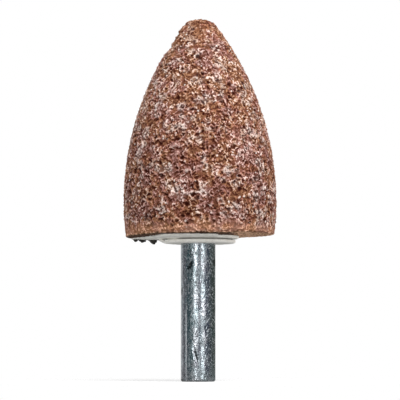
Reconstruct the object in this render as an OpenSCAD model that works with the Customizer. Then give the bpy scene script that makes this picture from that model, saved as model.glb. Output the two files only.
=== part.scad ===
// Mounted point: a blunt-nosed abrasive stone cemented onto a quarter inch steel spindle.
// Millimetres, +Z up. The origin is the centre of the spindle's free end, and -Y faces the viewer.

/* [Stone] */
// Widest diameter of the stone
stone_d = 28.2; // [24:0.1:36]
// Height from the flat underside to the top of the nose
stone_h = 40.5; // [34:0.1:50]
// Height of the widest section above the underside
belly_h = 6.3; // [3:0.1:10]
// Diameter of the shoulder where the side meets the blunt nose
nose_d = 5.2; // [3:0.1:8]
// Rise of the low dome above the nose's shoulder
nose_rise = 0.7; // [0.4:0.05:1.2]
// Radius of the rounded edge round the underside
rim_r = 0.5; // [0.2:0.05:1]
// Sideways offset of the stone and its collar from the spindle's axis
runout = 0.35; // [0:0.05:0.4]

/* [Chip beside the nose] */
// Depth of the chip at the top of its ledge
chip_depth = 0.8; // [0.2:0.05:1]
// Height of the broken face with its undercut foot
chip_h = 3.6; // [2:0.1:6]
// Height of the undercut at the foot of the broken face
undercut_h = 0.45; // [0.2:0.05:0.8]
// Height of the sloping ledge under the broken face
ledge_h = 1.9; // [0.8:0.1:2]
// Turn of the chip round the axis, from the left side towards the viewer
chip_turn = 12; // [0:1:60]

/* [Spindle] */
// Diameter of the plain shank
shank_d = 6.35; // [6:0.05:7]
// Length of spindle below the stone's underside
spindle_out = 26.9; // [20:0.1:50]
// Length of spindle set into the stone
spindle_in = 18; // [14:0.5:24]
// Chamfer round the free end
end_chamfer = 0.25; // [0.1:0.05:0.6]
// Number of teeth of the straight knurl inside the stone
knurl_teeth = 24; // [16:1:32]
// Depth of the knurl's teeth
knurl_depth = 0.35; // [0.2:0.05:0.5]

/* [Cement] */
// Thickness of the cement between knurl and bore
cement_gap = 1; // [0.6:0.1:1.6]
// Diameter of the cement's upper ring against the stone
ring_d = 14.7; // [13.5:0.1:18]
// Thickness of the upper ring
ring_t = 0.5; // [0.45:0.05:0.8]
// Diameter of the rounded boss under the ring
boss_d = 13.3; // [11:0.1:13.4]
// Thickness of the boss
boss_t = 0.55; // [0.4:0.05:0.8]
// Height of the seam between ring and boss
seam_h = 0.3; // [0.1:0.05:0.4]
// Reach of the cement smeared over the underside, from the stone's axis to the left
smear_reach = 13.1; // [10:0.1:13.1]

/* [Hidden] */
$fn = 128;

stone_r = stone_d / 2;
stone_z = spindle_out;
belly_z = stone_z + belly_h;
top_z = stone_z + stone_h;

// The side is one arc, upright at the belly and ending at the nose's shoulder.
shoulder_r = nose_d / 2;
shoulder_z = top_z - nose_rise;
side_in = stone_r - shoulder_r;
side_up = shoulder_z - belly_z;
side_r = (side_in * side_in + side_up * side_up) / (2 * side_in);
side_x = stone_r - side_r;
dome_r = (shoulder_r * shoulder_r + nose_rise * nose_rise) / (2 * nose_rise);

// The rim's small arc touches the side's arc and the underside.
rim_z = stone_z + rim_r;
rim_x = side_x + sqrt(pow(side_r - rim_r, 2) - pow(belly_z - rim_z, 2));
rim_touch_z = rim_z - rim_r * (belly_z - rim_z) / (side_r - rim_r);

// Half-width of the side at a height, for setting the chip.
function side_at(z) = side_x + sqrt(pow(side_r, 2) - pow(z - belly_z, 2));
chip_top = shoulder_z - 0.7;
chip_foot = chip_top - chip_h;
lip_z = chip_foot + undercut_h;
lip_depth = chip_depth / 2;
ledge_foot = chip_foot - ledge_h;
chip_span = 12;

boss_z = stone_z - ring_t - seam_h - boss_t;
seam_z = stone_z - ring_t - seam_h;
ring_z = stone_z - ring_t;
boss_round = boss_t * 0.95;
neck_r = boss_d / 2 - 0.6;
ring_taper = 0.3;

// The knurled end starts where the plain shank goes into the cement.
knurl_r = shank_d / 2 - 0.15;
knurl_z = boss_z;
spindle_top = stone_z + spindle_in;
groove_w = 1.6;
groove_r = knurl_r - knurl_depth - 0.25;
groove_at = [0.35, 0.7];

bore_r = knurl_r + cement_gap;
bore_top = spindle_top + 1.2;

smear_t = 0.4;
shard_y = 2.3;
shard_w = 1.2;

// Half section of the stone between the axis and its outside.
module stone_section() {
    intersection() {
        translate([side_x, belly_z]) circle(r = side_r);
        translate([0, rim_touch_z]) square([stone_r, shoulder_z - rim_touch_z]);
    }
    intersection() {
        translate([0, top_z - dome_r]) circle(r = dome_r);
        translate([0, shoulder_z]) square([shoulder_r, nose_rise]);
    }
    intersection() {
        translate([rim_x, rim_z]) circle(r = rim_r);
        translate([rim_x, stone_z]) square([rim_r, rim_touch_z - stone_z]);
    }
    translate([0, stone_z]) square([rim_x, rim_touch_z - stone_z]);
}

// Wedge broken out of the side: a flat face, its undercut foot and a sloping ledge.
module nose_chip() {
    rotate([0, 0, chip_turn])
        rotate([90, 0, 0])
            translate([0, 0, -chip_span / 2])
                linear_extrude(height = chip_span)
                    polygon([
                        [-side_at(chip_top), chip_top],
                        [-side_at(lip_z) + lip_depth, lip_z],
                        [-side_at(chip_foot) + chip_depth, chip_foot],
                        [-side_at(ledge_foot), ledge_foot],
                        [-side_at(ledge_foot) - 2, ledge_foot + 1],
                        [-side_at(chip_top) - 2, chip_top + 1]
                    ]);
}

module abrasive_stone() {
    color([0.58, 0.43, 0.37])
        translate([runout, 0, 0])
            difference() {
                rotate_extrude() stone_section();
                nose_chip();
                translate([0, 0, stone_z - 1]) cylinder(r = bore_r, h = bore_top - stone_z + 1);
            }
}

// Outline of the straight knurl, tooth tips on knurl_r.
module knurl_outline() {
    step = 180 / knurl_teeth;
    polygon([
        for (i = [0 : 2 * knurl_teeth - 1])
            let (r = i % 2 == 0 ? knurl_r : knurl_r - knurl_depth)
                [r * cos(i * step), r * sin(i * step)]
    ]);
}

module spindle_body() {
    cylinder(r1 = shank_d / 2 - end_chamfer, r2 = shank_d / 2, h = end_chamfer);
    translate([0, 0, end_chamfer]) cylinder(d = shank_d, h = knurl_z - end_chamfer);
    difference() {
        translate([0, 0, knurl_z]) linear_extrude(height = spindle_top - knurl_z) knurl_outline();
        for (at = groove_at)
            translate([0, 0, stone_z + at * spindle_in - groove_w / 2])
                difference() {
                    cylinder(r = knurl_r + 1, h = groove_w);
                    cylinder(r = groove_r, h = groove_w);
                }
    }
}

module spindle() {
    color([0.55, 0.57, 0.58]) spindle_body();
}

// Half section of the cement: sleeve in the bore, ring on the underside, seam and rounded boss.
module cement_section() {
    square_h = bore_top - boss_z;
    translate([0, boss_z]) square([bore_r, square_h]);
    polygon([
        [0, ring_z],
        [ring_d / 2 - ring_taper, ring_z],
        [ring_d / 2, stone_z],
        [0, stone_z]
    ]);
    translate([0, seam_z]) square([neck_r, seam_h]);
    translate([0, boss_z + boss_round]) square([boss_d / 2, boss_t - boss_round]);
    translate([0, boss_z]) square([boss_d / 2 - boss_round, boss_round]);
    intersection() {
        translate([boss_d / 2 - boss_round, boss_z + boss_round]) circle(r = boss_round);
        translate([boss_d / 2 - boss_round, boss_z]) square([boss_round, boss_round]);
    }
}

// Thin ragged patch of cement round the front of the underside and out to the left, as shares of its reach.
module smear_outline() {
    polygon(smear_reach * [
        [0.25, -0.38], [0.25, -0.76], [0.18, -0.86], [0.02, -0.85], [-0.17, -0.89],
        [-0.35, -0.83], [-0.51, -0.77], [-0.59, -0.53], [-0.66, -0.29], [-0.73, -0.19],
        [-0.80, -0.05], [-0.89, 0.02], [-0.95, 0.12], [-0.99, 0.17], [-0.96, 0.26],
        [-0.87, 0.25], [-0.76, 0.32], [-0.66, 0.29], [-0.50, 0.35], [-0.34, 0.27]
    ]);
}

// Three-cornered shard hanging from the smear, its point a little right of its middle.
module shard(at, wide, drop) {
    translate([-at * smear_reach, shard_y + shard_w / 2, stone_z - smear_t])
        rotate([90, 0, 0])
            linear_extrude(height = shard_w)
                polygon([[-wide / 2, 0], [wide * 0.12, -drop], [wide / 2, 0], [wide / 2, smear_t / 2],
                         [-wide / 2, smear_t / 2]]);
}

module cement() {
    color([0.78, 0.77, 0.73])
        difference() {
            translate([runout, 0, 0]) {
                rotate_extrude() cement_section();
                translate([0, 0, stone_z - smear_t])
                    linear_extrude(height = smear_t) smear_outline();
                shard(0.67, 1.6, 0.85);
                shard(0.82, 1.4, 0.55);
                shard(0.93, 1.2, 0.35);
            }
            spindle_body();
        }
}

abrasive_stone();
spindle();
cement();
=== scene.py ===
"""Dresses the mounted point: gritty stone, scuffed steel spindle and pale cement, on a white stage."""

import math
from contextlib import contextmanager

import bmesh
import bpy
from mathutils import Matrix, Vector


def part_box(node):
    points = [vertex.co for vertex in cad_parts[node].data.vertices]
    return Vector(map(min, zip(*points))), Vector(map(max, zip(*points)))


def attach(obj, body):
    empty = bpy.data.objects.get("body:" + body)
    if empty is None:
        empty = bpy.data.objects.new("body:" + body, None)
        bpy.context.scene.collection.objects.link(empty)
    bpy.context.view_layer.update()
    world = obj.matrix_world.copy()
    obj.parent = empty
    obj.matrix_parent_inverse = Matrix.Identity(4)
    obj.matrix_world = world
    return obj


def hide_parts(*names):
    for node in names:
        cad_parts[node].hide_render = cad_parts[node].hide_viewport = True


bl_info = {
    "name": "Mounted Point",
    "version": (1, 0, 0),
    "blender": (4, 5, 0),
    "location": "View3D > Sidebar > Mounted Point",
    "description": "Builds the visible pieces and the stage of a mounted grinding point",
    "category": "Object",
}

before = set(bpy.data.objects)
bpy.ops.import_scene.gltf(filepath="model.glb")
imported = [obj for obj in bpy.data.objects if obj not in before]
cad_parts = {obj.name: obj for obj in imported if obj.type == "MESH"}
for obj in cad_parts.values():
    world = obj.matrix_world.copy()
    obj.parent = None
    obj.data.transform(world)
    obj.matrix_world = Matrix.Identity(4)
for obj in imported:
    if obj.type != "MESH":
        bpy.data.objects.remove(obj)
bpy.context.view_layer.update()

# Lengths are in mm from here on, unless a comment says metres.
MM = 0.001
UNDERSIDE = (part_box("abrasive_stone")[0] / MM).z
COLLAR_FOOT = (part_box("cement")[0] / MM).z
SHANK_RADIUS = (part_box("spindle")[1] / MM).x
# Points closer than this are merged.
MERGE = 0.0005
# Lift that makes up for what pores and dents take away from a surface.
LIFT = 0.03
# Attribute that keeps the place on the smooth form for the shader.
PLACE = "smooth_place"


def tone(red, green, blue):
    """Linear colour from the usual 0 to 255 values."""
    values = [v / 255 for v in (red, green, blue)]
    return tuple(v / 12.92 if v <= 0.04045 else ((v + 0.055) / 1.055) ** 2.4 for v in values)


def grey(level):
    """Grey of a linear level."""
    return (level, level, level)


class Wire:
    """One output of a node; arithmetic on it adds Math nodes."""

    def __init__(self, net, socket):
        self.net = net
        self.socket = socket

    def math(self, operation, *values):
        return self.net.node("ShaderNodeMath", {"operation": operation}, dict(enumerate(values)))["Value"]

    def __add__(self, other):
        return self.math("ADD", self, other)

    __radd__ = __add__

    def __sub__(self, other):
        return self.math("SUBTRACT", self, other)

    def __rsub__(self, other):
        return self.math("SUBTRACT", other, self)

    def __mul__(self, other):
        return self.math("MULTIPLY", self, other)

    __rmul__ = __mul__

    def __truediv__(self, other):
        return self.math("DIVIDE", self, other)

    def __gt__(self, other):
        return self.math("GREATER_THAN", self, other)

    def __pow__(self, other):
        return self.math("POWER", self, other)

    def size(self):
        return self.math("ABSOLUTE", self)

    def larger(self, other):
        return self.math("MAXIMUM", self, other)

    def angle(self, other):
        """Angle of a direction with this part across and the other part ahead, in radians."""
        return self.math("ARCTAN2", self, other)

    def falloff(self):
        """One where the value is zero, fading as it grows."""
        return self.math("EXPONENT", 0.0 - self)

    def clamped(self):
        return self.net.node("ShaderNodeClamp", {}, {"Value": self})["Result"]


class Net:
    """A node tree that is written as expressions; it serves shaders and geometry alike."""

    def __init__(self, tree):
        self.tree = tree

    def node(self, kind, settings=None, sockets=None):
        """Adds a node, sets it up, then fills its sockets; gives its outputs by name."""
        made = self.tree.nodes.new(kind)
        for key, value in (settings or {}).items():
            if key == "stops":
                self.stops(made.color_ramp, value)
            else:
                setattr(made, key, value)
        for key, value in (sockets or {}).items():
            self.fill(self.find(made, key), value)
        return {o.name: Wire(self, o) for o in made.outputs if o.enabled}

    @staticmethod
    def find(made, key):
        """A node's input by its number, or by its name among those in use."""
        if isinstance(key, int):
            return made.inputs[key]
        return next(s for s in made.inputs if s.name == key and s.enabled)

    @staticmethod
    def stops(ramp, stops):
        while len(ramp.elements) < len(stops):
            ramp.elements.new(1.0)
        for element, (place, shade) in zip(ramp.elements, stops):
            element.position = place
            element.color = (*shade, 1.0)

    def fill(self, socket, value):
        """Links a wire to an input, or sets the input's own value."""
        if isinstance(value, Wire):
            self.tree.links.new(value.socket, socket)
        elif hasattr(socket.default_value, "__len__") and len(socket.default_value) == 4:
            socket.default_value = (*value, 1.0)[:4]
        else:
            socket.default_value = value

    def vector(self, operation, first, second=None, scale=None):
        sockets = {0: first}
        if second is not None:
            sockets[1] = second
        if scale is not None:
            sockets["Scale"] = scale
        return self.node("ShaderNodeVectorMath", {"operation": operation}, sockets)["Vector"]

    def axes(self, point):
        parts = self.node("ShaderNodeSeparateXYZ", {}, {"Vector": point})
        return parts["X"], parts["Y"], parts["Z"]

    def noise(self, point, scale, detail=2.0, roughness=0.5, apart=None):
        """Noise at a point, with a scale per mm; a shift sets a pattern apart from others."""
        if apart:
            point = self.vector("ADD", point, apart)
        return self.node(
            "ShaderNodeTexNoise",
            {"noise_dimensions": "3D"},
            {"Vector": point, "Scale": scale, "Detail": detail, "Roughness": roughness},
        )

    def ripple(self, *place_and_scale, **shift):
        """Noise that goes up and down about zero."""
        return self.noise(*place_and_scale, **shift)["Fac"] - 0.5

    def patches(self, limits, *place_and_scale, **shift):
        """Soft-edged patches where noise rises through two limits."""
        return self.ease(self.noise(*place_and_scale, **shift)["Fac"], *limits)

    def cells(self, point, pitch, feature="F1"):
        return self.node(
            "ShaderNodeTexVoronoi",
            {"voronoi_dimensions": "3D", "feature": feature},
            {"Vector": point, "Scale": 1.0 / pitch},
        )

    def ease(self, value, low, high, out_low=0.0, out_high=1.0):
        """Smooth step of a value between two limits."""
        return self.node(
            "ShaderNodeMapRange",
            {"interpolation_type": "SMOOTHSTEP"},
            {"Value": value, "From Min": low, "From Max": high, "To Min": out_low, "To Max": out_high},
        )["Result"]

    def fall(self, value, low, high):
        """Smooth step down from one to zero."""
        return 1.0 - self.ease(value, low, high)

    @staticmethod
    def bell(value, middle, spread):
        """One where a value is at the middle, fading to both sides."""
        return (((value - middle) / spread) ** 2.0).falloff()

    def blend(self, share, first, second, blend_type="MIX"):
        return self.node(
            "ShaderNodeMix",
            {"data_type": "RGBA", "blend_type": blend_type},
            {"Factor": share, "A": first, "B": second},
        )["Result"]

    def ramp(self, value, stops):
        return self.node("ShaderNodeValToRGB", {"stops": stops}, {"Fac": value})["Color"]


def weighed(parts, shares):
    """Sum of the named parts, each times its share."""
    return sum(parts[name] * share for name, share in shares.items())


def surface_net(name):
    """A new material and its empty tree."""
    material = bpy.data.materials.new(name)
    material.use_nodes = True
    net = Net(material.node_tree)
    net.tree.nodes.clear()
    return material, net


def finish_surface(net, sockets):
    """Closes a material with one Principled shader."""
    shader = net.node("ShaderNodeBsdfPrincipled", {}, sockets)["BSDF"]
    net.node("ShaderNodeOutputMaterial", {}, {"Surface": shader})


def in_mm(net):
    """Object coordinates in mm."""
    place = net.node("ShaderNodeTexCoord")["Object"]
    return net.vector("SCALE", place, scale=1.0 / MM)


def smooth_place(net):
    """The place on the smooth form that the relief was worked out at."""
    settings = {"attribute_type": "GEOMETRY", "attribute_name": PLACE}
    return net.node("ShaderNodeAttribute", settings)["Vector"]


def bumped(net, height, distance):
    """Normal bent by a height that is counted in steps of a distance."""
    return net.node("ShaderNodeBump", {}, {"Height": height, "Distance": distance * MM})["Normal"]


@contextmanager
def shaping(mesh):
    """Opens a mesh for bmesh operators and writes it back."""
    work = bmesh.new()
    work.from_mesh(mesh)
    yield work
    work.to_mesh(mesh)
    work.free()


def placed(name, data):
    """A new object in the scene."""
    made = bpy.data.objects.new(name, data)
    bpy.context.scene.collection.objects.link(made)
    return made


def copy_of(node, name):
    """A merged copy of a CAD node's mesh as a new object, in mm."""
    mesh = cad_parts[node].data.copy()
    mesh.name = name
    mesh.materials.clear()
    mesh.transform(Matrix.Scale(1.0 / MM, 4))
    with shaping(mesh) as work:
        bmesh.ops.remove_doubles(work, verts=work.verts, dist=MERGE)
    return placed(name, mesh)


def cut_copy(node, name, height, keep_above):
    """A closed copy of a CAD node's part above or below a height."""
    piece = copy_of(node, name)
    with shaping(piece.data) as work:
        cut = bmesh.ops.bisect_plane(
            work,
            geom=work.verts[:] + work.edges[:] + work.faces[:],
            dist=MERGE,
            plane_co=(0.0, 0.0, height),
            plane_no=(0.0, 0.0, 1.0),
            clear_inner=keep_above,
            clear_outer=not keep_above,
        )["geom_cut"]
        rims = [e for e in cut if isinstance(e, bmesh.types.BMEdge)]
        outward = (0.0, 0.0, -1.0 if keep_above else 1.0)
        bmesh.ops.triangle_fill(work, edges=rims, use_beauty=True, normal=outward)
        bmesh.ops.recalc_face_normals(work, faces=work.faces)
    return piece


def take_in(piece, other):
    """Adds another piece's mesh to a piece and drops the other."""
    with shaping(piece.data) as work:
        work.from_mesh(other.data)
    bpy.data.objects.remove(other)


def settle(piece):
    """Makes the modifiers part of the mesh."""
    graph = bpy.context.evaluated_depsgraph_get()
    shaped = piece.evaluated_get(graph)
    mesh = bpy.data.meshes.new_from_object(shaped, preserve_all_data_layers=True, depsgraph=graph)
    piece.modifiers.clear()
    piece.data = mesh


def even_mesh(piece, pitch):
    """Gives a piece one even mesh of small faces."""
    remesh = piece.modifiers.new("Even mesh", "REMESH")
    remesh.mode = "VOXEL"
    remesh.voxel_size = pitch
    remesh.use_smooth_shade = True
    settle(piece)


def geometry_net(name):
    """An empty geometry tree with its geometry going in and out."""
    tree = bpy.data.node_groups.new(name, "GeometryNodeTree")
    tree.interface.new_socket("Geometry", in_out="INPUT", socket_type="NodeSocketGeometry")
    tree.interface.new_socket("Geometry", in_out="OUTPUT", socket_type="NodeSocketGeometry")
    return Net(tree)


def push(piece, height):
    """Moves a piece's surface along its normal by a height and keeps the smooth place as an attribute."""
    net = geometry_net(piece.name + " relief")
    inside = net.node("NodeGroupInput")["Geometry"]
    place = net.node("GeometryNodeInputPosition")["Position"]
    normal = net.node("GeometryNodeInputNormal")["Normal"]
    kept = net.node(
        "GeometryNodeStoreNamedAttribute",
        {"data_type": "FLOAT_VECTOR", "domain": "POINT"},
        {"Geometry": inside, "Name": PLACE, "Value": place},
    )["Geometry"]
    offset = net.vector("SCALE", normal, scale=height(net, place))
    moved = net.node("GeometryNodeSetPosition", {}, {"Geometry": kept, "Offset": offset})["Geometry"]
    net.node("NodeGroupOutput", {}, {"Geometry": moved})
    modifier = piece.modifiers.new("Relief", "NODES")
    modifier.node_group = net.tree
    settle(piece)


def hand_over(piece, node, material):
    """Puts a finished piece, made in mm, in the place of its CAD node."""
    piece.data.transform(Matrix.Scale(MM, 4))
    piece.data.materials.clear()
    piece.data.materials.append(material)
    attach(piece, "root")
    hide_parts(node)


def length(name, description, default, low, high):
    """A length property, given in mm."""
    return bpy.props.FloatProperty(
        name=name,
        description=description,
        default=default * MM,
        min=low * MM,
        max=high * MM,
        subtype="DISTANCE",
        unit="LENGTH",
    )


def amount(name, description, default, low, high):
    """A property that is a plain number."""
    return bpy.props.FloatProperty(name=name, description=description, default=default, min=low, max=high)


def power(name, description, default):
    """A lamp's power property, in watts."""
    return bpy.props.FloatProperty(
        name=name, description=description, default=default, min=0.0, unit="POWER"
    )


def colour(name, description, default):
    """A colour property."""
    return bpy.props.FloatVectorProperty(
        name=name, description=description, default=default, size=3, min=0.0, max=1.0, subtype="COLOR"
    )


class StoneLook(bpy.types.PropertyGroup):
    """Sizes and colours of the abrasive stone."""

    mesh_pitch: length("Mesh pitch", "Distance between the points of the stone's mesh", 0.235, 0.15, 1)
    pore_pitch: length("Pore pitch", "Mean distance between pores", 0.95, 0.3, 3)
    pit_depth: length("Pit depth", "Depth of the deepest pores", 0.34, 0, 0.6)
    # Darkest colour on the ramp: painted shade in the pores.
    pore_shade: colour("Deep", "Colour in the pores", tone(58, 17, 5))
    low: colour("Low", "Colour of the sunken bond", tone(107, 64, 46))
    body: colour("Body", "Colour of the bond", tone(143, 100, 82))
    high: colour("High", "Colour of the proud grains", tone(185, 156, 143))
    bright: colour("Bright", "Colour of the brightest walls", tone(241, 229, 221))
    mauve: colour("Mauve", "Hue of the coolest cells", tone(146, 103, 98))
    russet: colour("Russet", "Hue of the redder cells", tone(153, 93, 74))
    orange: colour("Orange", "Hue of the warmer cells", tone(168, 109, 73))
    tan: colour("Tan", "Hue of the yellowest cells", tone(173, 120, 82))
    rim: colour("Rim", "Hue of the smoother rim", tone(178, 126, 94))
    olive: colour("Olive", "Hue of the underside", tone(160, 128, 94))
    pale: colour("Pale", "Colour of the ashy walls", tone(220, 210, 203))
    # Painted highlight on small facets.
    painted_glint: colour("Glint", "Colour of the small bright facets", tone(255, 244, 236))
    # Painted shade on the underside beside the cement.
    underside_shade: colour("Stain", "Colour of the grimy underside beside the cement", tone(34, 22, 16))


class SpindleLook(bpy.types.PropertyGroup):
    """Colours and finish of the steel spindle."""

    mesh_pitch: length("Mesh pitch", "Distance between the points of the shank's mesh", 0.14, 0.1, 1)
    edge: length("Edge", "Chamfer round the free end", 0.25, 0.1, 0.6)
    unevenness: length("Unevenness", "Height of the steel's uneven skin", 0.07, 0, 0.2)
    steel: colour("Steel", "Colour of the bright steel", tone(203, 206, 210))
    cool: colour("Cool", "Colour of the cooler streaks", tone(192, 205, 209))
    dull: colour("Dull", "Colour of the dull patches", tone(150, 155, 158))
    dark: colour("Dark", "Colour in the dents", tone(52, 56, 58))
    polish: amount("Polish", "Roughness of the bright steel", 0.14, 0.05, 1.0)


class CementLook(bpy.types.PropertyGroup):
    """Colours of the cement."""

    mesh_pitch: length("Mesh pitch", "Distance between the points of the collar's mesh", 0.1, 0.05, 1)
    clean: colour("Clean", "Colour of the clean cement", tone(244, 242, 235))
    dust_and_shade: colour("Dusty", "Colour of the dusty cement", tone(196, 190, 176))
    # Painted shade in the seam, and the dark colour of the shards.
    shade_and_dark: colour("Grimy", "Colour in the seam and on the shards", tone(52, 50, 46))


class StageLook(bpy.types.PropertyGroup):
    """Camera, lamps and even light."""

    distance: length("Distance", "Distance from the camera to the spindle's axis", 400, 100, 2000)
    height: length("Height", "Height of the camera over the floor", 7, 1, 500)
    side: length("Side", "Shift of the camera to the right, to the stone's own axis", 0.35, -50, 50)
    aim: length("Aim", "Height that the camera looks at", 33.66, 0, 500)
    view_width: length("View width", "Width that the picture covers at the axis", 74.27, 20, 500)
    key: power("Key", "Power of the lamp above on the right", 5.22)
    strips: power("Strips", "Power of the two tall lamps in front", 0.4)
    sky: amount("Sky", "Level of the even light from above", 0.5, 0.0, 4.0)
    horizon: amount("Horizon", "Level of the even light from all round", 1.2, 0.0, 9.0)
    ground: amount("Ground", "Level of the even light from below", 0.25, 0.0, 4.0)


# Zones of the stone by height over its underside.
RIM_ZONE = (1.6, 4.2)
NOSE_ZONE = (30.0, 38.0)
FOOT_ZONE = (3.0, 30.0)
UNDER_ZONE = (0.05, 0.45)
UNDERSIDE_SHADE_ZONE = (0.05, 0.2)
CHIP_FOOT = (34.2, 35.0)
CHIP_TOP = (38.8, 39.8)
EDGE_HEIGHT = 0.2
EDGE_SPREAD = 0.35
# Zones of the stone by place to the right of the spindle's axis.
CHIP_SIDE = (-3.4, -1.8)
RAISED_SIDE = (4.6, 8.2)
SUNK_SIDE = (-12.5, -7.0)
UNDERSIDE_SHADE_SIDE = (5.5, 7.5)
# How far the underside is raised on the right and sunk on the left, and the depth of the rim's nicks.
RAISED = 0.3
SUNK = 0.22
NICK_DEPTH = 0.3

# How far the pores and facets are bent out of line, and the facets' mean size.
PORE_SWAY = 0.85
FACET_SWAY = 0.3
FACET_PITCH = 0.5
# Size of the smallest pore as a share of the pitch, and what the largest has on top of it.
PORE_LEAST = 0.06
PORE_MORE = 0.5
# Walls and threads of bond: softness of their sides, and limits of the noise that breaks them up.
WALL_SIDES = (0.03, 0.22)
WALL_GATE = (0.44, 0.6)
THREAD_SIDES = (0.005, 0.085)
THREAD_GATE = (0.43, 0.6)
# From a crevice to the wall above it; the crevice is a real groove, and its darkness is painted shade cast
# by that wall.
CREVICE_SHIFT = (0.12, 0.0, 0.3)
# Limits of the noise for lively patches, with their contrast, for ashy patches and for nicks in the rim.
LIVELY_PATCHES = (0.36, 0.64, 0.76, 1.18)
ASHY_PATCHES = (0.5, 0.64)
RIM_NICKS = (0.5, 0.68)
# Shifts that set patterns of the stone apart from each other.
THREAD_SHIFT = (17.0, 3.0, 29.0)
LIVELY_SHIFT = (9.0, 4.0, 2.0)
ASHY_SHIFT = (31.0, 7.0, 3.0)

# Height that each part of the grain gives the surface, then steps of the bump and the height of one step.
GRAIN_HEIGHTS = {"lumps": 0.6, "strand": 0.1, "crevice_and_shade": -0.12, "fine": 0.08}
GRAIN_BUMPS = {"fine": 0.35, "medium": 0.6, "slope": 0.15}
STONE_BUMP = 0.1
# Level on the skin's ramp that each part of the grain gives.
GRAIN_LEVELS = {
    "lumps": 0.38,
    "medium": 0.3,
    "fine": 0.04,
    "broad": 0.04,
    "strand": 0.47,
    # Painted shade in the pores, which the relief also sinks.
    "pit": -0.4,
    # Painted shade in the crevice below and left of each wall.
    "crevice_and_shade": -0.28,
    "cell": 0.2,
    "facet": 0.08,
}
# What each zone adds to the contrast, to the level and to the place on the ramp of hues. The underside's
# lift in level is painted light thrown up from below.
ZONE_CONTRASTS = {"rim": -0.3, "nose": -0.15, "under": 0.3}
ZONE_LEVELS = {"foot": -0.03, "nose": -0.035, "rim": 0.19, "under": 0.16}
HUE_PLACES = {"drift": 1.8, "tint": 0.5, "foot": -0.1, "nose": 0.1}
MEAN_LEVEL = 0.273
MEAN_HUE = 0.575
SKIN_STOPS = ((0.06, "pore_shade"), (0.26, "low"), (0.48, "body"), (0.68, "high"), (0.9, "bright"))
HUE_STOPS = ((0.3, "mauve"), (0.5, "russet"), (0.62, "orange"), (0.75, "tan"))
# Facets above this limit, of 0 to 1, are painted glints: small highlights painted into the skin.
GLINT_LIMIT = 0.965


def sponge(net, point, pitch):
    """Pores at a point and the broken walls of bond between them."""
    sway = net.vector("SUBTRACT", net.noise(point, 1.4, 1.0)["Color"], grey(0.5))
    bent = net.vector("ADD", point, net.vector("SCALE", sway, scale=PORE_SWAY))
    wall = net.fall(net.cells(bent, pitch, "DISTANCE_TO_EDGE")["Distance"], *WALL_SIDES)
    wall = wall * net.patches(WALL_GATE, point, 1.8, 2.0, 0.6)
    thread = net.fall(net.ripple(point, 1.1, 1.0).size(), *THREAD_SIDES)
    thread = thread * net.patches(THREAD_GATE, point, 1.7, 1.0, apart=THREAD_SHIFT)
    return net.cells(bent, pitch), wall.larger(thread)


def grit(net, point, look):
    """Grain and zones of the stone at a point of its smooth form."""
    pitch = look.pore_pitch / MM
    pores, walls = sponge(net, point, pitch)
    # The walls one step up and to the right of each point, whose painted shade falls on that point.
    beside = sponge(net, net.vector("ADD", point, CREVICE_SHIFT), pitch)[1]
    share, cell, tint = net.axes(pores["Color"])
    along = net.axes(point)[2] - UNDERSIDE
    rim = net.fall(along + net.noise(point, 0.6, 1.0)["Fac"] * 2.0, *RIM_ZONE)
    nose = net.ease(along, *NOSE_ZONE)
    worn = 1.0 - rim * 0.5 - nose * 0.3
    uneven = pores["Distance"] + net.ripple(point, 2.6, 1.0) * 0.5
    pit = net.fall(uneven / (PORE_LEAST + PORE_MORE * share * share), 0.3, 1.0) * worn
    strand = walls * (1.0 - pit)
    return {
        "pit": pit,
        "strand": strand,
        # A groove beside each wall, which the skin also darkens as painted shade.
        "crevice_and_shade": beside * (1.0 - strand) * worn,
        "lumps": net.ripple(point, 1.7, 2.0, 0.6),
        "cell": cell - 0.5,
        "tint": tint - 0.5,
        "rim": rim,
        "nose": nose,
        "foot": net.fall(along, *FOOT_ZONE),
        "under": net.fall(along, *UNDER_ZONE),
    }


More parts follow.
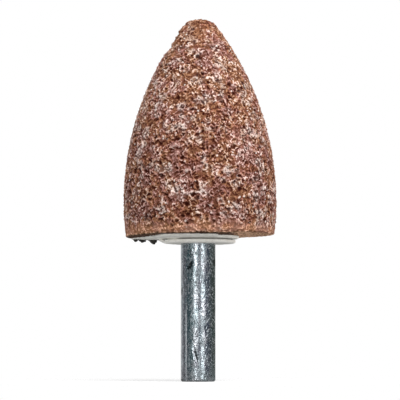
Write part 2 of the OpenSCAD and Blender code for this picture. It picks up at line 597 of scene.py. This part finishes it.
class MOUNTEDPOINT_OT_stone(bpy.types.Operator):
    """Build the abrasive stone with its pores and grains"""

    bl_idname = "mounted_point.stone"
    bl_label = "Abrasive Stone"

    def execute(self, context):
        look = context.scene.mounted_point_stone
        piece = copy_of("abrasive_stone", "grit_stone")
        even_mesh(piece, look.mesh_pitch / MM)
        push(piece, lambda net, place: self.relief(net, place, look))
        hand_over(piece, "abrasive_stone", self.material(look))
        return {"FINISHED"}

    @staticmethod
    def relief(net, place, look):
        """Height of the stone's surface over its smooth form."""
        parts = grit(net, place, look)
        parts["fine"] = net.ripple(place, 4.5, 1.0)
        across, _, up = net.axes(place)
        along = up - UNDERSIDE
        chip = net.ease(along, *CHIP_FOOT) * net.fall(along, *CHIP_TOP) * net.fall(across, *CHIP_SIDE)
        rough = chip * 0.8 + parts["nose"] * 0.4
        height = weighed(parts, GRAIN_HEIGHTS) + rough * net.ripple(place, 1.2, 2.0, 0.6)
        calm = 1.0 - parts["rim"] * 0.6
        tilt = net.ease(across, *RAISED_SIDE) * RAISED - net.fall(across, *SUNK_SIDE) * SUNK
        nicked = net.bell(along, EDGE_HEIGHT, EDGE_SPREAD) * net.patches(RIM_NICKS, place, 1.5, 2.0, 0.6)
        lost = tilt * parts["under"] + nicked * NICK_DEPTH + parts["pit"] * (look.pit_depth / MM)
        return height * calm - lost + LIFT

    @staticmethod
    def material(look):
        material, net = surface_net("bonded_abrasive_grit")
        place = smooth_place(net)
        across, _, up = net.axes(place)
        parts = grit(net, place, look)
        parts["medium"] = net.ripple(place, 2.4, 2.0, 0.65)
        parts["fine"] = net.ripple(place, 5.5, 1.0)
        parts["broad"] = net.ripple(place, 0.5)
        parts["drift"] = net.ripple(place, 0.28)
        sway = net.vector("SCALE", net.noise(place, 3.0, 1.0)["Color"], scale=FACET_SWAY)
        facets = net.cells(net.vector("ADD", place, sway), FACET_PITCH)
        facet, shine, parts["slope"] = net.axes(facets["Color"])
        parts["facet"] = facet - 0.5

        contrast = 1.0 + weighed(parts, ZONE_CONTRASTS)
        contrast = contrast * net.patches(LIVELY_PATCHES, place, 0.6, 1.0, apart=LIVELY_SHIFT)
        level = weighed(parts, GRAIN_LEVELS) * contrast + MEAN_LEVEL + weighed(parts, ZONE_LEVELS)
        skin = net.ramp(level, [(stop, getattr(look, name)) for stop, name in SKIN_STOPS])
        hue = MEAN_HUE + weighed(parts, HUE_PLACES)
        hues = net.ramp(hue, [(stop, getattr(look, name)) for stop, name in HUE_STOPS])
        plain = net.ease(level, 0.12, 0.42) * (1.0 - net.ease(level, 0.5, 0.74) * 0.75)
        skin = net.blend(plain * 0.85, skin, hues, "COLOR")
        skin = net.blend(parts["rim"] * 0.6, skin, look.rim, "COLOR")
        skin = net.blend(parts["under"] * 0.35, skin, look.olive, "COLOR")

        ashy = net.patches(ASHY_PATCHES, place, 0.42, 3.0, 0.6, apart=ASHY_SHIFT)
        ashy = ashy * (parts["strand"] * 0.55 + 0.04) * (1.0 - parts["rim"]) * (1.0 - parts["nose"] * 0.7)
        skin = net.blend(ashy, skin, look.pale)
        # Painted glints: small highlights painted into the skin, where the roughness is also lower.
        painted_glint = (shine + parts["broad"] * 0.5 > GLINT_LIMIT) * net.fall(facets["Distance"], 0.2, 0.5)
        painted_glint = painted_glint * (1.0 - parts["pit"]) * (1.0 - parts["rim"] * 0.7)
        skin = net.blend(painted_glint * 0.6, skin, look.painted_glint)
        # Painted shade: the underside, except its right end, darkened to near black beside the cement.
        underside_shade = net.fall(up - UNDERSIDE, *UNDERSIDE_SHADE_ZONE)
        underside_shade = underside_shade * net.fall(across + net.ripple(place, 0.8) * 4.0, *UNDERSIDE_SHADE_SIDE)
        skin = net.blend(underside_shade * 0.85, skin, look.underside_shade)
        finish_surface(
            net,
            {
                "Base Color": skin,
                "Roughness": (0.85 - 0.35 * painted_glint).clamped(),
                "Specular IOR Level": 0.12,
                "Normal": bumped(net, weighed(parts, GRAIN_BUMPS), STONE_BUMP),
            },
        )
        return material


# Dents on the shank's front: place to the right and up, lean from upright in degrees,
# half length, half width and depth.
DENTS = (
    (-0.36, 4.7, 16.0, 1.15, 0.17, 0.18),
    (-0.78, 4.2, 12.0, 1.4, 0.24, -0.07),
    (-1.5, 21.4, -24.0, 0.8, 0.28, 0.15),
    (-1.25, 20.2, -8.0, 1.2, 0.2, 0.05),
    (-2.2, 19.0, 20.0, 0.9, 0.25, 0.05),
    (2.95, 22.0, 8.0, 0.8, 0.3, 0.09),
    (-3.05, 16.6, 0.0, 0.9, 0.3, 0.09),
    (1.1, 15.3, -40.0, 0.4, 0.18, 0.04),
    (-0.1, 6.9, 70.0, 0.6, 0.12, 0.03),
)
# Scratches, in the same order.
SCRATCHES = (
    (1.75, 11.2, -38.0, 0.75, 0.05, 0.03),
    (1.45, 8.2, -35.0, 0.8, 0.05, 0.03),
    (1.2, 7.2, -20.0, 0.7, 0.04, 0.025),
    (1.95, 9.6, -28.0, 0.5, 0.04, 0.02),
    (-2.2, 7.0, 0.0, 6.5, 0.1, 0.04),
)
# Marks fade in over this depth in front of the axis, so that none shows on the back.
FRONT_ZONE = (0.0, 0.6)
# How far the plain shank's mesh goes up inside the cement.
SHANK_OVERLAP = 0.15
# Spinning leaves the shank's points and faces in no fixed order, so they are sorted along a slanted line.
ORDER_WAY = Vector((0.31, 0.57, 1.0))
# Patterns are stretched along the shank by squeezing the place.
SKIN_STRETCH = (1.0, 1.0, 0.33)
SPECKLE_STRETCH = (1.0, 1.0, 0.4)
# Shifts that set patterns of the steel apart from each other.
POCK_SHIFT = (5.0, 9.0, 2.0)
SPECK_SHIFT = (3.0, 1.0, 8.0)
# Limits of the noise for pocks and specks.
POCK_PATCHES = (0.58, 0.7)
SPECK_PATCHES = (0.55, 0.64)
# Specks grow stronger up the shank: from and to these heights, and their shares there.
SPECK_ZONE = (4.0, 18.0, 0.24, 0.48)
# Pitch of the cells for small nicks, and the limit, of 0 to 1, above which a cell has one.
NICK_PITCH = 0.8
NICK_LIMIT = 0.62
# Height of one step of the bump, and the steps that each part of the finish gives.
STEEL_BUMP = 0.14
FINISH_BUMPS = {
    "skin": 0.2,
    "speckle": 0.2,
    "prickle": 0.22,
    "pocks": -0.15,
    "nicked": -0.42,
    "scratches": -8.0,
}


def marks(net, point, places):
    """Depth of dents or scratches at a point of the shank."""
    across, away, up = net.axes(point)
    total = 0.0
    for x, z, lean, long, wide, depth in places:
        c, s = math.cos(math.radians(lean)), math.sin(math.radians(lean))
        right, rise = across - x, up - z
        side = (right * c + rise * s) / wide
        run = (rise * c - right * s) / long
        total = (side * side + run * run).falloff() * depth + total
    return total * net.ease(0.0 - away, *FRONT_ZONE)


class MOUNTEDPOINT_OT_spindle(bpy.types.Operator):
    """Build the steel spindle with its dents and scuffs"""

    bl_idname = "mounted_point.spindle"
    bl_label = "Steel Spindle"

    def execute(self, context):
        look = context.scene.mounted_point_spindle
        piece = self.shank(look)
        push(piece, lambda net, place: self.relief(net, place, look))
        take_in(piece, cut_copy("spindle", "knurled_end", COLLAR_FOOT, True))
        hand_over(piece, "spindle", self.material(look))
        return {"FINISHED"}

    @staticmethod
    def shank(look):
        """The plain shank, spun from its outline, up to a little inside the cement."""
        radius, top = SHANK_RADIUS, COLLAR_FOOT + SHANK_OVERLAP
        edge, pitch = look.edge / MM, look.mesh_pitch / MM
        outline = ((0.0, 0.0), (radius - edge, 0.0), (radius, edge), (radius, top), (0.0, top))
        mesh = bpy.data.meshes.new("scuffed_spindle")
        with shaping(mesh) as work:
            corners = [work.verts.new((x, 0.0, z)) for x, z in outline]
            *seen_lines, _ = [work.edges.new(pair) for pair in zip(corners, corners[1:])]
            for line in seen_lines:
                cuts = max(1, round(line.calc_length() / pitch))
                bmesh.ops.subdivide_edges(work, edges=[line], cuts=cuts)
            bmesh.ops.spin(
                work,
                geom=work.verts[:] + work.edges[:],
                cent=(0.0, 0.0, 0.0),
                axis=(0.0, 0.0, 1.0),
                angle=2.0 * math.pi,
                steps=round(2.0 * math.pi * radius / pitch),
                use_merge=True,
            )
            bmesh.ops.remove_doubles(work, verts=work.verts, dist=MERGE)
            bmesh.ops.recalc_face_normals(work, faces=work.faces)
            for face in work.faces:
                face.smooth = True
            work.verts.sort(key=lambda vert: vert.co.dot(ORDER_WAY))
            work.faces.sort(key=lambda face: face.calc_center_median().dot(ORDER_WAY))
        return placed("scuffed_spindle", mesh)

    @staticmethod
    def uneven_skin(net, place):
        """Uneven skin of the steel, about -0.5 to 0.5, longer along the shank."""
        return net.ripple(net.vector("MULTIPLY", place, SKIN_STRETCH), 1.3, 2.0, 0.55)

    @classmethod
    def relief(cls, net, place, look):
        """Height of the steel over the true cylinder."""
        return cls.uneven_skin(net, place) * (look.unevenness / MM) - marks(net, place, DENTS) + LIFT

    @classmethod
    def material(cls, look):
        material, net = surface_net("scuffed_steel")
        place = in_mm(net)
        stretched = net.vector("MULTIPLY", place, SPECKLE_STRETCH)
        speckle = net.ripple(stretched, 2.4, 2.0, 0.6)
        blotch = net.ripple(stretched, 0.9, 3.0, 0.6)
        matte = net.ease(speckle + blotch * 0.4, -0.04, 0.12)
        pocks = net.patches(POCK_PATCHES, place, 2.2, 1.0, apart=POCK_SHIFT)
        specks = net.patches(SPECK_PATCHES, place, 2.2, 2.0, 0.65, apart=SPECK_SHIFT)
        specks = specks * net.ease(net.axes(place)[2], *SPECK_ZONE)
        dented = net.ease(marks(net, place, DENTS), 0.02, 0.08)
        scratches = marks(net, place, SCRATCHES)
        scraped = net.ease(scratches, 0.004, 0.02)
        nicks = net.cells(place, NICK_PITCH)
        nicked = (net.axes(nicks["Color"])[0] > NICK_LIMIT) * net.fall(nicks["Distance"], 0.08, 0.34)

        skin = net.blend(net.ease(blotch, -0.1, 0.1), look.steel, look.cool)
        skin = net.blend(matte * 0.5, skin, look.dull)
        skin = net.blend((pocks * 0.5 + dented * 0.9).clamped(), skin, look.dark)
        skin = net.blend(scraped * 0.7, skin, look.steel)
        parts = {
            "skin": cls.uneven_skin(net, place),
            "speckle": speckle,
            "prickle": net.ripple(place, 4.5, 1.0),
            "pocks": pocks,
            "nicked": nicked,
            "scratches": scratches,
        }
        finish_surface(
            net,
            {
                "Base Color": skin,
                "Metallic": (1.0 - matte * 0.08 - specks - scraped * 0.5).clamped(),
                "Roughness": (look.polish + matte * 0.2 + scraped * 0.25).clamped(),
                "Normal": bumped(net, weighed(parts, FINISH_BUMPS), STEEL_BUMP),
            },
        )
        return material


# Height over the underside at which the cement's seen part is split from its sleeve in the bore.
SLEEVE_SPLIT = 0.3
# The squeezed-out lump: place, with its height over the underside, half sizes and slope in degrees.
LUMP_PLACE = (-6.75, 0.5, -0.75)
LUMP_SIZE = (1.25, 1.5, 0.32)
LUMP_SLOPE = 28.0
# The torn strip between the shards: place behind the axis, spread, ends by place to the right,
# top by height over the underside, and limits of the noise that tears it.
STRIP_AWAY = 2.3
STRIP_SPREAD = 0.7
STRIP_LEFT = (-12.4, -11.4)
STRIP_RIGHT = (-7.9, -7.3)
STRIP_TOP = (-0.3, -0.15)
STRIP_TEARS = (0.4, 0.62)
# Height that each part gives the cement's skin, and the height of the bump.
CEMENT_HEIGHTS = {"coarse": 0.14, "fine": 0.08, "torn": 0.3}
CEMENT_BUMP = 0.06
# Dust and painted shade: limits of the dust's noise, the upper ring by height over the underside, which is
# greyed as painted shade under the stone, and the share by place to the right, which keeps the shaded left
# end paler as painted light.
DUST_PATCHES = (0.42, 0.68)
RING_SHADE_ZONE = (-0.38, -0.12)
DUST_SIDE = (-9.0, -5.0, 0.2, 1.0)
# Darker strip on the shards: right end, height where it starts by place to the right, and softness.
DARK_STRIP_SIDE = (-7.8, -7.3)
DARK_STRIP_START = (-11.5, -9.5, -0.46, -0.57)
DARK_STRIP_SOFT = (-0.05, 0.05)
# Painted shade in the seam: height over the underside, spread, and its share by place to the right.
SEAM_HEIGHT = -0.65
SEAM_SPREAD = 0.13
SEAM_SIDE = (-4.5, -2.5, 0.05, 0.75)


class MOUNTEDPOINT_OT_cement(bpy.types.Operator):
    """Build the cement with its seam, smear and shards"""

    bl_idname = "mounted_point.cement"
    bl_label = "Cement"

    def execute(self, context):
        look = context.scene.mounted_point_cement
        split = UNDERSIDE + SLEEVE_SPLIT
        piece = cut_copy("cement", "ragged_cement", split, False)
        self.add_lump(piece)
        even_mesh(piece, look.mesh_pitch / MM)
        push(piece, self.relief)
        take_in(piece, cut_copy("cement", "cement_sleeve", split, True))
        hand_over(piece, "cement", self.material(look))
        return {"FINISHED"}

    @staticmethod
    def add_lump(piece):
        """Adds the squeezed-out lump that slopes from the smear down to the boss's left end."""
        x, y, z = LUMP_PLACE
        lump = Matrix.Translation((x, y, UNDERSIDE + z))
        lump = lump @ Matrix.Rotation(math.radians(LUMP_SLOPE), 4, "Y") @ Matrix.Diagonal((*LUMP_SIZE, 1.0))
        with shaping(piece.data) as work:
            bmesh.ops.create_icosphere(work, subdivisions=4, radius=1.0, matrix=lump)

    @staticmethod
    def relief(net, place):
        """Height of the cement's rough skin, with the torn strip between the shards."""
        across, away, up = net.axes(place)
        strip = net.bell(away, STRIP_AWAY, STRIP_SPREAD) * net.fall(up - UNDERSIDE, *STRIP_TOP)
        strip = strip * net.ease(across, *STRIP_LEFT) * net.fall(across, *STRIP_RIGHT)
        parts = {
            "coarse": net.ripple(place, 0.9, 2.0, 0.6),
            "fine": net.ripple(place, 3.5),
            "torn": strip * net.patches(STRIP_TEARS, place, 2.2),
        }
        return weighed(parts, CEMENT_HEIGHTS)

    @staticmethod
    def material(look):
        material, net = surface_net("pale_cement_matte")
        place = in_mm(net)
        across, _, up = net.axes(place)
        along = up - UNDERSIDE
        dust = net.patches(DUST_PATCHES, place, 0.9, 3.0, 0.6)
        grain = net.noise(place, 5.0)["Fac"]
        # Dust, with the upper ring greyed as painted shade; the left end is kept paler as painted light.
        dust_and_shade = (dust * 0.3 + net.ease(along, *RING_SHADE_ZONE) * 0.08) * net.ease(across, *DUST_SIDE)
        skin = net.blend(dust_and_shade, look.clean, look.dust_and_shade)
        # The torn strip on the shards below the smear is darkened.
        start = net.ease(across, *DARK_STRIP_START)
        dark_strip = net.fall(along + (grain - 0.5) * 0.3 - start, *DARK_STRIP_SOFT)
        dark_strip = dark_strip * net.fall(across + (dust - 0.5) * 0.6, *DARK_STRIP_SIDE)
        skin = net.blend(dark_strip, skin, look.shade_and_dark)
        # Painted shade along the seam.
        seam = net.bell(along, SEAM_HEIGHT, SEAM_SPREAD) * net.ease(across, *SEAM_SIDE)
        skin = net.blend(seam, skin, look.shade_and_dark)
        finish_surface(
            net,
            {"Base Color": skin, "Roughness": 0.85, "Normal": bumped(net, grain, CEMENT_BUMP)},
        )
        return material


# Soft lamps: name, setting with the power, share of it, and place and size in metres.
LAMPS = (
    ("key_lamp", "key", 1.0, (0.17, -0.35, 0.62), (0.4, 0.4)),
    ("left_strip", "strips", 0.87, (-0.152, -0.527, 0.115), (0.166, 0.29)),
    ("right_strip", "strips", 0.96, (0.293, -0.465, 0.115), (0.18, 0.29)),
)
LAMP_AIM = (0.0, 0.0, 0.04)
# Nearest and farthest distance that the camera shows, in metres.
CAMERA_REACH = (0.01, 10.0)
# Half size of the floor and the ring over which it fades out round the spindle, in metres.
FLOOR_HALF = 0.2
FLOOR_FADE = (0.008, 0.05)
# Floor's grey for the camera, in polished metal and in the light that it throws back, and its glow.
FLOOR_SEEN = 0.95
FLOOR_MIRRORED = 0.22
FLOOR_BOUNCED = 0.45
FLOOR_GLOW = 0.6
# Even light, by the height of its direction from -1 to 1, and how it grows to the right and to both sides.
SKY_ZONE = (-0.1, 0.8)
HORIZON_HEIGHT = -0.02
HORIZON_SPREAD = 0.12
RIGHT_GAIN = 0.05
SIDES_GAIN = 1.15
# What polished metal sees round the room: bearing to the right of the camera in degrees, and colour.
ROOM = (
    (-180.0, (0.8, 0.8, 0.79)),
    (-150.0, (0.6, 0.6, 0.6)),
    (-135.0, (0.42, 0.42, 0.44)),
    (-124.0, (0.28, 0.28, 0.3)),
    (-113.0, (0.12, 0.12, 0.13)),
    (-105.0, (0.05, 0.052, 0.06)),
    (-100.0, (0.05, 0.055, 0.065)),
    (-94.0, (0.16, 0.165, 0.185)),
    (-86.0, (0.15, 0.16, 0.18)),
    (-78.0, (0.045, 0.07, 0.08)),
    (-46.0, (0.045, 0.085, 0.095)),
    (-38.0, (0.25, 0.29, 0.3)),
    (-4.0, (0.3, 0.31, 0.34)),
    (2.0, (0.18, 0.19, 0.22)),
    (46.0, (0.2, 0.2, 0.24)),
    (54.0, (0.06, 0.065, 0.1)),
    (80.0, (0.055, 0.065, 0.08)),
    (100.0, (0.055, 0.07, 0.065)),
    (155.0, (0.05, 0.065, 0.05)),
    (172.0, (0.6, 0.62, 0.6)),
    (180.0, (0.8, 0.8, 0.79)),
)


def turn_to(thing, target):
    """Turns a lamp or the camera towards a place in metres."""
    way = Vector(target) - thing.location
    thing.rotation_euler = way.to_track_quat("-Z", "Y").to_euler()


class MOUNTEDPOINT_OT_stage(bpy.types.Operator):
    """Set up the floor, lamps, world and camera"""

    bl_idname = "mounted_point.stage"
    bl_label = "Stage"

    def execute(self, context):
        look = context.scene.mounted_point_stage
        context.scene.view_settings.view_transform = "Standard"
        self.floor()
        for name, setting, share, place, size in LAMPS:
            self.lamp(name, getattr(look, setting) * share, place, size)
        self.world(context.scene, look)
        self.camera(context.scene, look)
        return {"FINISHED"}

    @classmethod
    def floor(cls):
        mesh = bpy.data.meshes.new("floor")
        with shaping(mesh) as work:
            bmesh.ops.create_grid(work, x_segments=1, y_segments=1, size=FLOOR_HALF)
        mesh.materials.append(cls.floor_material())
        plane = placed("floor", mesh)

    @staticmethod
    def floor_material():
        """Pale floor that keeps the shadow near the spindle and fades out round it."""
        material, net = surface_net("white_floor")
        seen = net.node("ShaderNodeLightPath")
        shown = net.blend(seen["Is Camera Ray"], grey(FLOOR_MIRRORED), grey(FLOOR_SEEN))
        shown = net.blend(seen["Is Diffuse Ray"], shown, grey(FLOOR_BOUNCED))
        matte = net.node("ShaderNodeBsdfDiffuse", {}, {"Color": shown})["BSDF"]
        glow = net.node("ShaderNodeEmission", {}, {"Color": grey(1.0), "Strength": 1.0})["Emission"]
        glowing = seen["Is Camera Ray"] * FLOOR_GLOW
        pale = net.node("ShaderNodeMixShader", {}, {0: glowing, 1: matte, 2: glow})["Shader"]
        place = net.node("ShaderNodeTexCoord")["Object"]
        reach = net.node("ShaderNodeVectorMath", {"operation": "LENGTH"}, {0: place})["Value"]
        gone = net.ease(reach, *FLOOR_FADE)
        clear = net.node("ShaderNodeBsdfTransparent")["BSDF"]
        faded = net.node("ShaderNodeMixShader", {}, {0: gone, 1: pale, 2: clear})["Shader"]
        net.node("ShaderNodeOutputMaterial", {}, {"Surface": faded})
        return material

    @staticmethod
    def lamp(name, watts, place, size):
        """A soft lamp that faces the stone."""
        light = bpy.data.lights.new(name, "AREA")
        light.shape = "RECTANGLE"
        light.size, light.size_y = size
        light.energy = watts
        lamp = placed(name, light)
        lamp.location = place
        turn_to(lamp, LAMP_AIM)

    @staticmethod
    def world(scene, look):
        """White to the camera; metal sees a pale wall behind and a dim room in front."""
        world = bpy.data.worlds.new("white_room")
        world.use_nodes = True
        scene.world = world
        net = Net(world.node_tree)
        net.tree.nodes.clear()
        seen = net.node("ShaderNodeLightPath")
        across, away, up = net.axes(net.node("ShaderNodeTexCoord")["Generated"])
        low = net.bell(up, HORIZON_HEIGHT, HORIZON_SPREAD) * look.horizon
        sides = 1.0 + across * RIGHT_GAIN + across * across * SIDES_GAIN
        even = (net.ease(up, *SKY_ZONE, look.ground, look.sky) + low) * sides
        bearing = across.angle(0.0 - away) / (2.0 * math.pi) + 0.5
        mirrored = net.ramp(bearing, [((turn + 180.0) / 360.0, shade) for turn, shade in ROOM])
        even = net.blend(seen["Is Glossy Ray"], even, mirrored)
        clear = (seen["Is Camera Ray"] + seen["Is Transmission Ray"]).clamped()
        shown = net.blend(clear, even, grey(1.0))
        glow = net.node("ShaderNodeBackground", {}, {"Color": shown, "Strength": 1.0})["Background"]
        net.node("ShaderNodeOutputWorld", {}, {"Surface": glow})

    @staticmethod
    def camera(scene, look):
        """A camera whose picture covers the view width at the spindle's axis."""
        data = bpy.data.cameras.new("camera")
        data.lens = data.sensor_width * look.distance / look.view_width
        data.clip_start, data.clip_end = CAMERA_REACH
        camera = placed("camera", data)
        camera.location = (look.side, -look.distance, look.height)
        turn_to(camera, (look.side, 0.0, look.aim))
        scene.camera = camera


class MOUNTEDPOINT_PT_panel(bpy.types.Panel):
    """Lists the pieces and their settings"""

    bl_idname = "MOUNTEDPOINT_PT_panel"
    bl_label = "Mounted Point"
    bl_space_type = "VIEW_3D"
    bl_region_type = "UI"
    bl_category = "Mounted Point"

    def draw(self, context):
        for name, operator, group in PARTS:
            box = self.layout.box()
            box.operator(operator.bl_idname, text=operator.bl_label)
            settings = getattr(context.scene, name)
            for key in group.__annotations__:
                box.prop(settings, key)


PARTS = (
    ("mounted_point_stone", MOUNTEDPOINT_OT_stone, StoneLook),
    ("mounted_point_spindle", MOUNTEDPOINT_OT_spindle, SpindleLook),
    ("mounted_point_cement", MOUNTEDPOINT_OT_cement, CementLook),
    ("mounted_point_stage", MOUNTEDPOINT_OT_stage, StageLook),
)


def register():
    for name, operator, group in PARTS:
        bpy.utils.register_class(group)
        bpy.utils.register_class(operator)
        setattr(bpy.types.Scene, name, bpy.props.PointerProperty(type=group))
    bpy.utils.register_class(MOUNTEDPOINT_PT_panel)


def unregister():
    bpy.utils.unregister_class(MOUNTEDPOINT_PT_panel)
    for name, operator, group in reversed(PARTS):
        delattr(bpy.types.Scene, name)
        bpy.utils.unregister_class(operator)
        bpy.utils.unregister_class(group)


def main():
    register()
    bpy.ops.mounted_point.stone()
    bpy.ops.mounted_point.spindle()
    bpy.ops.mounted_point.cement()
    bpy.ops.mounted_point.stage()


if __name__ == "__main__":
    main()
